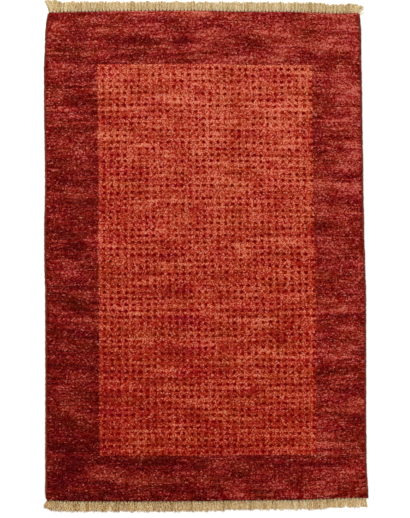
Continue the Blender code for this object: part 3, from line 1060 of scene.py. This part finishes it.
def fringe_yarns(end):
    """All the plies of one fringe, as rings of points, with their tints and shares along."""
    style = STYLES[end]
    root, bend, tip = bundles[end]
    outward = 1 if end == "upper" else -1
    shape = (len(root), WARPS, PLIES, 1)
    of_bundle, of_warp = (len(root), 1, 1, 1), (len(root), WARPS, 1, 1)
    s = np.linspace(0, 1, STATIONS)

    def rand(size, low=-1.0, high=1.0):
        """Even random numbers for each bundle, warp or ply."""
        return rng.uniform(low, high, size)

    def guide(axis, start):
        """A coordinate of the bundles along their length, from root by bend to tip."""
        begin, middle, last = (v[:, None, None, None] for v in (start, bend[:, axis], tip[:, axis]))
        early = mix(begin, middle, np.clip(s / BEND_SHARE, 0, 1))
        late = mix(middle, last, np.clip((s - BEND_SHARE) / (1 - BEND_SHARE), 0, 1))
        return np.where(s < BEND_SHARE, early, late)

    # The first plies of each warp are a bed that fills the room between warps, low, and tinted darker as
    # painted shade
    is_bed = (np.arange(PLIES) < BED_PLIES)[None, None, :, None]
    depth = np.where(is_bed, rand(shape, *BED_DEPTH), rand(shape, *PLY_DEPTH))
    spread = np.clip((s - SPREAD_START) / SPREAD_SHARE, 0, 1)
    tip_span = np.clip(np.gradient(tip[:, 0]), *TIP_SPAN)[:, None, None, None] * style.fan
    span = mix(style.root_span * MM, tip_span, spread)
    warp = ((np.arange(WARPS) - (WARPS - 1) / 2) / WARPS)[None, :, None, None]
    full = np.maximum(tip_span, BUNDLE_PITCH)
    bed_place = (np.minimum(np.arange(PLIES), BED_PLIES - 1) / BED_PLIES - 1 / 3)[None, None, :, None]
    across_bed = (warp + (bed_place + rand(shape, -BED_WANDER, BED_WANDER)) / WARPS) * full
    x = guide(0, root[:, 0]) + np.where(is_bed, across_bed, warp * span)
    x = x + (rand(of_bundle) * BUNDLE_WANDER + rand(of_warp) * WARP_WANDER) * s
    x = x + rand(shape) * np.where(is_bed, BED_LEAN, style.lean) * MM * s**LEAN_CURVE

    turn = math.tau * (np.arange(PLIES)[None, None, :, None] / PLIES + TWIST_TURNS * s)
    turn = turn + rand(of_warp, 0, ANY_PHASE)
    loose = np.clip(s * LOOSENING, 0, 1)
    coil = np.where(is_bed, BED_COIL, mix(ROOT_COIL, TIP_COIL, loose))
    x = x + coil * np.cos(turn)
    x = x + style.curl * MM * np.sin(math.tau * CURL_TURNS * s + rand(shape, 0, math.tau)) * loose

    y = guide(1, end_y(end, root[:, 0]) + outward * style.start_gap * MM)
    y = y + outward * np.where(is_bed, BED_START, 0) * (1 - s)
    start = y[..., :1]
    reach = np.interp(root[:, 0] / MM, *np.transpose(REACH[end]))[:, None, None, None] * MM
    y = start + (y - start) * (style.longer + rand(shape) * LENGTH_SPREAD) + outward * reach * s
    y = y + outward * style.ragged * MM * rand(shape, *CUT_SPREAD) * s**2
    y = y + outward * STRAY * rand(shape, 0, 1) ** STRAY_RARITY * s**2

    radius = style.radius * MM * np.where(is_bed, BED_THICKER, 1.0)
    hump = np.where(is_bed, 0, ROOT_HUMP) * np.exp(-(((s - HUMP_PLACE) / HUMP_REACH) ** 2))
    z = radius + FLOOR_GAP + hump + depth * HEAP * (1 - HEAP_SINK * s)
    z = np.maximum(z + COIL_FLAT * coil * np.sin(turn) * (1 - s), radius)
    path = np.stack(np.broadcast_arrays(x, y, z), axis=-1).reshape(-1, STATIONS, 3)

    taper = np.array([1.0] * (STATIONS - len(TAPER)) + [*TAPER])
    thick = np.broadcast_to(radius * taper, (*shape[:3], STATIONS)).reshape(-1, STATIONS)
    rings = rings_along(path, thick)
    # The bed plies get a lower tint: painted shade between the warps.
    tint = np.where(is_bed, BED_SHADE_TINT, PLY_TINT) + WARP_TINT_SPREAD * rand(of_warp, 0, 1)
    tint = tint + PLY_TINT_SPREAD * rand(shape, 0, 1)
    tint = tint + style.paler_right * np.clip(root[:, 0] / PALE_FROM, 0, 1)[:, None, None, None]
    # A painted highlight: the plies' tint rises near their roots.
    tint = tint + np.where(is_bed, 0, ROOT_PAINTED_HIGHLIGHT) * np.exp(-((s / PAINTED_HIGHLIGHT_REACH) ** 2))
    tint = tint.reshape(-1, STATIONS, 1)
    uv = np.stack(np.broadcast_arrays(tint, s[None, :, None], np.zeros((1, 1, PLY_SIDES))), axis=-1)
    return rings, uv[..., :2]


# %% [markdown]
# ## Loose yarns
# Handling pulls single yarns out of line, most of all at the corners, where they fan out past the
# sides. They are given in a table: where each handful starts and ends, and how far it fans.

# %% Loose yarns
BOW = 0.12
FAN_FLAT = 0.4
LOOSE_HEIGHT = (0.3, 2.2)
LOOSE_TINT = (-0.25, 0.15)
Loose = namedtuple("Loose", "end start stop count spread radius tint")
LOOSE = [
    Loose("upper", (-400, 641), (-423, 669), 2, 0.5, 0.8, 1.0),
    Loose("upper", (-399, 641), (-410, 673), 18, 6.5, 0.6, 0.75),
    Loose("upper", (-394, 641), (-398, 673), 22, 7.0, 0.6, 0.65),
    Loose("upper", (-387, 642), (-387, 663), 22, 6.0, 0.6, 0.6),
    Loose("upper", (-319, 656), (-319, 672), 2, 0.7, 0.5, 0.4),
    Loose("upper", (-77, 656), (-78, 672), 5, 1.8, 0.5, 0.6),
    Loose("upper", (372, 639), (374, 660), 26, 9.0, 0.6, 0.6),
    Loose("upper", (383, 638), (388, 661), 28, 8.0, 0.6, 0.7),
    Loose("upper", (392, 638), (401, 658), 34, 8.0, 0.6, 0.85),
    Loose("upper", (398, 637), (407, 650), 32, 9.0, 0.55, 1.1),
    Loose("upper", (402, 634), (409, 640), 26, 8.0, 0.55, 1.1),
    Loose("lower", (-410, -633), (-421, -653), 24, 5.0, 0.6, 0.65),
    Loose("lower", (-407, -635), (-414, -660), 26, 6.0, 0.6, 0.6),
    Loose("lower", (-403, -636), (-405, -665), 26, 6.0, 0.6, 0.55),
    Loose("lower", (413, -631), (414, -655), 26, 5.0, 0.6, 0.8),
    Loose("lower", (419, -630), (422, -657), 30, 3.0, 0.6, 0.8),
]


def loose_yarns(end):
    """The stray yarns of one end, each bundle of them fanned from one start."""
    s = np.linspace(0, 1, STATIONS)[None, :]
    all_rings, all_uv = [], []
    for loose in (one for one in LOOSE if one.end == end):
        size = (loose.count, 1)
        start, stop = np.array(loose.start) * MM, np.array(loose.stop) * MM
        fan = rng.uniform(-1, 1, (loose.count, 2, 1)) * loose.spread * MM
        bow = rng.uniform(-1, 1, size) * BOW * loose.spread * MM * np.sin(math.pi * s)
        x = mix(start[0], stop[0], s) + fan[:, 0] * s + bow
        y = mix(start[1], stop[1], s) + fan[:, 1] * FAN_FLAT * s
        z = loose.radius * MM + rng.uniform(*LOOSE_HEIGHT, size) * MM * (1 - s / 2)
        path = np.stack(np.broadcast_arrays(x, y, z), axis=-1)
        all_rings.append(rings_along(path, np.full(path.shape[:2], loose.radius * MM)))
        tint = np.clip(loose.tint + rng.uniform(*LOOSE_TINT, size), 0, 1)[..., None]
        uv = np.broadcast_arrays(tint, s[..., None], np.zeros((1, 1, PLY_SIDES)))
        all_uv.append(np.stack(uv, axis=-1)[..., :2])
    return np.concatenate(all_rings), np.concatenate(all_uv)


# %% Join each fringe
fringes = {}
for end in ("upper", "lower"):
    rings, uv = (np.concatenate(parts) for parts in zip(fringe_yarns(end), loose_yarns(end)))
    fringes[end] = mesh_from_rings(f"fringe_yarns_{end}", rings, uv)

# %% [markdown]
# ## End strips
# Four rows of wool weft are beaten down on the last row of knots, and hold it when the warps are
# cut. They are woven under the roots of the fringe, and show only as a red line between bundles.

# %% Weave the end strips
WEFT_RADIUS = 0.85 * MM
WEFT_FIRST, WEFT_STEP, WEFT_HEIGHT = 1.2, 1.7, 1.15
WEFT_WAVE, WEFT_DIP = 4.65 * MM, 0.25 * MM
WEFTS = 4
WEFT_SIDES = 6
WEFT_STATIONS = 420


def end_weave(end):
    """The wefts along an end, which dip between the warps."""
    outward = 1 if end == "upper" else -1
    reach = EDGES[end][:, 0]
    x = np.linspace(reach.min() + MM, reach.max() - MM, WEFT_STATIONS)
    angle = math.tau * np.arange(WEFT_SIDES) / WEFT_SIDES
    rings = []
    for k in range(WEFTS):
        y = end_y(end, x) + outward * WEFT_RADIUS * (WEFT_FIRST + WEFT_STEP * k)
        z = WEFT_RADIUS * WEFT_HEIGHT + WEFT_DIP * np.sin(math.tau * x / WEFT_WAVE + math.pi * k)
        ring_y = y[:, None] + WEFT_RADIUS * np.cos(angle)
        ring_z = np.maximum(z[:, None] + WEFT_RADIUS * np.sin(angle), 0)
        rings.append(np.stack(np.broadcast_arrays(x[:, None], ring_y, ring_z), axis=-1))
    return mesh_from_rings(f"end_weave_{end}", np.stack(rings))


weaves = {end: end_weave(end) for end in ("upper", "lower")}


# %% [markdown]
# ## Cotton
# The warps are undyed cotton, matt and slightly yellow. Every ply has its own tint, which its UV map
# carries, and short flecks of shade run along it. The lower end is browner and more uneven.

# %% Cotton
def cotton_material(name, stops, fleck_size, fleck_share):
    """Undyed cotton: the plies' own tints and flecks."""
    material, shader = new_material(name, 0.95, 0.05)
    tree = material.node_tree
    uv = add_node(tree, "ShaderNodeUVMap", uv_map="yarn").outputs["UV"]
    ply_tint = add_node(tree, "ShaderNodeSeparateXYZ", {0: uv}).outputs[0]
    flecks = noise_over(tree, fleck_size, Detail=3.0)
    flecks = result(tree, MATH, flecks, fleck_share, -fleck_share / 2, operation="MULTIPLY_ADD")
    tint = result(tree, MATH, ply_tint, flecks, operation="ADD")
    finish_yarn(material, shader, tint, stops, fibre_size=0.5 * MM, depth=0.2 * MM)
    return material


cotton = {
    "upper": cotton_material(
        "cotton warp, bright end",
        ((0.12, "#6E5728"), (0.42, "#C4A468"), (0.69, "#EACF9B"), (0.98, "#F9EAC8")),
        fleck_size=3.0 * MM, fleck_share=1.1,
    ),
    "lower": cotton_material(
        "cotton warp, dull end",
        ((0.1, "#58300E"), (0.4, "#AE783C"), (0.65, "#E3B874"), (0.92, "#FEECBE")),
        fleck_size=2.6 * MM, fleck_share=2.6,
    ),
}
weft_wool = wool_yarn(
    "end weft wool", ((0.3, "#861E14"), (0.7, "#BE5440")), patch_size=7.0 * MM, depth=0.2 * MM
)
for end in ("upper", "lower"):
    fringes[end].data.materials.append(cotton[end])
    weaves[end].data.materials.append(weft_wool)
print("cotton:", [material.name for material in cotton.values()])

# %% [markdown]
# ## Hand the pieces to the frame
# Every piece rides on the root body, and the CAD node that it replaces is hidden. The foundation is
# the sheet of cloth, with the rest on it.

# %% Ride and replace
for piece in (*pile, foundation):
    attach(piece, "root")
    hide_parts("rug_pile")
for side, cord in cords.items():
    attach(cord, "root")
    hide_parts(f"selvedge_{side}")
for end in ("upper", "lower"):
    for piece in (fringes[end], weaves[end]):
        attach(piece, "root")
        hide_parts(f"fringe_{end}")
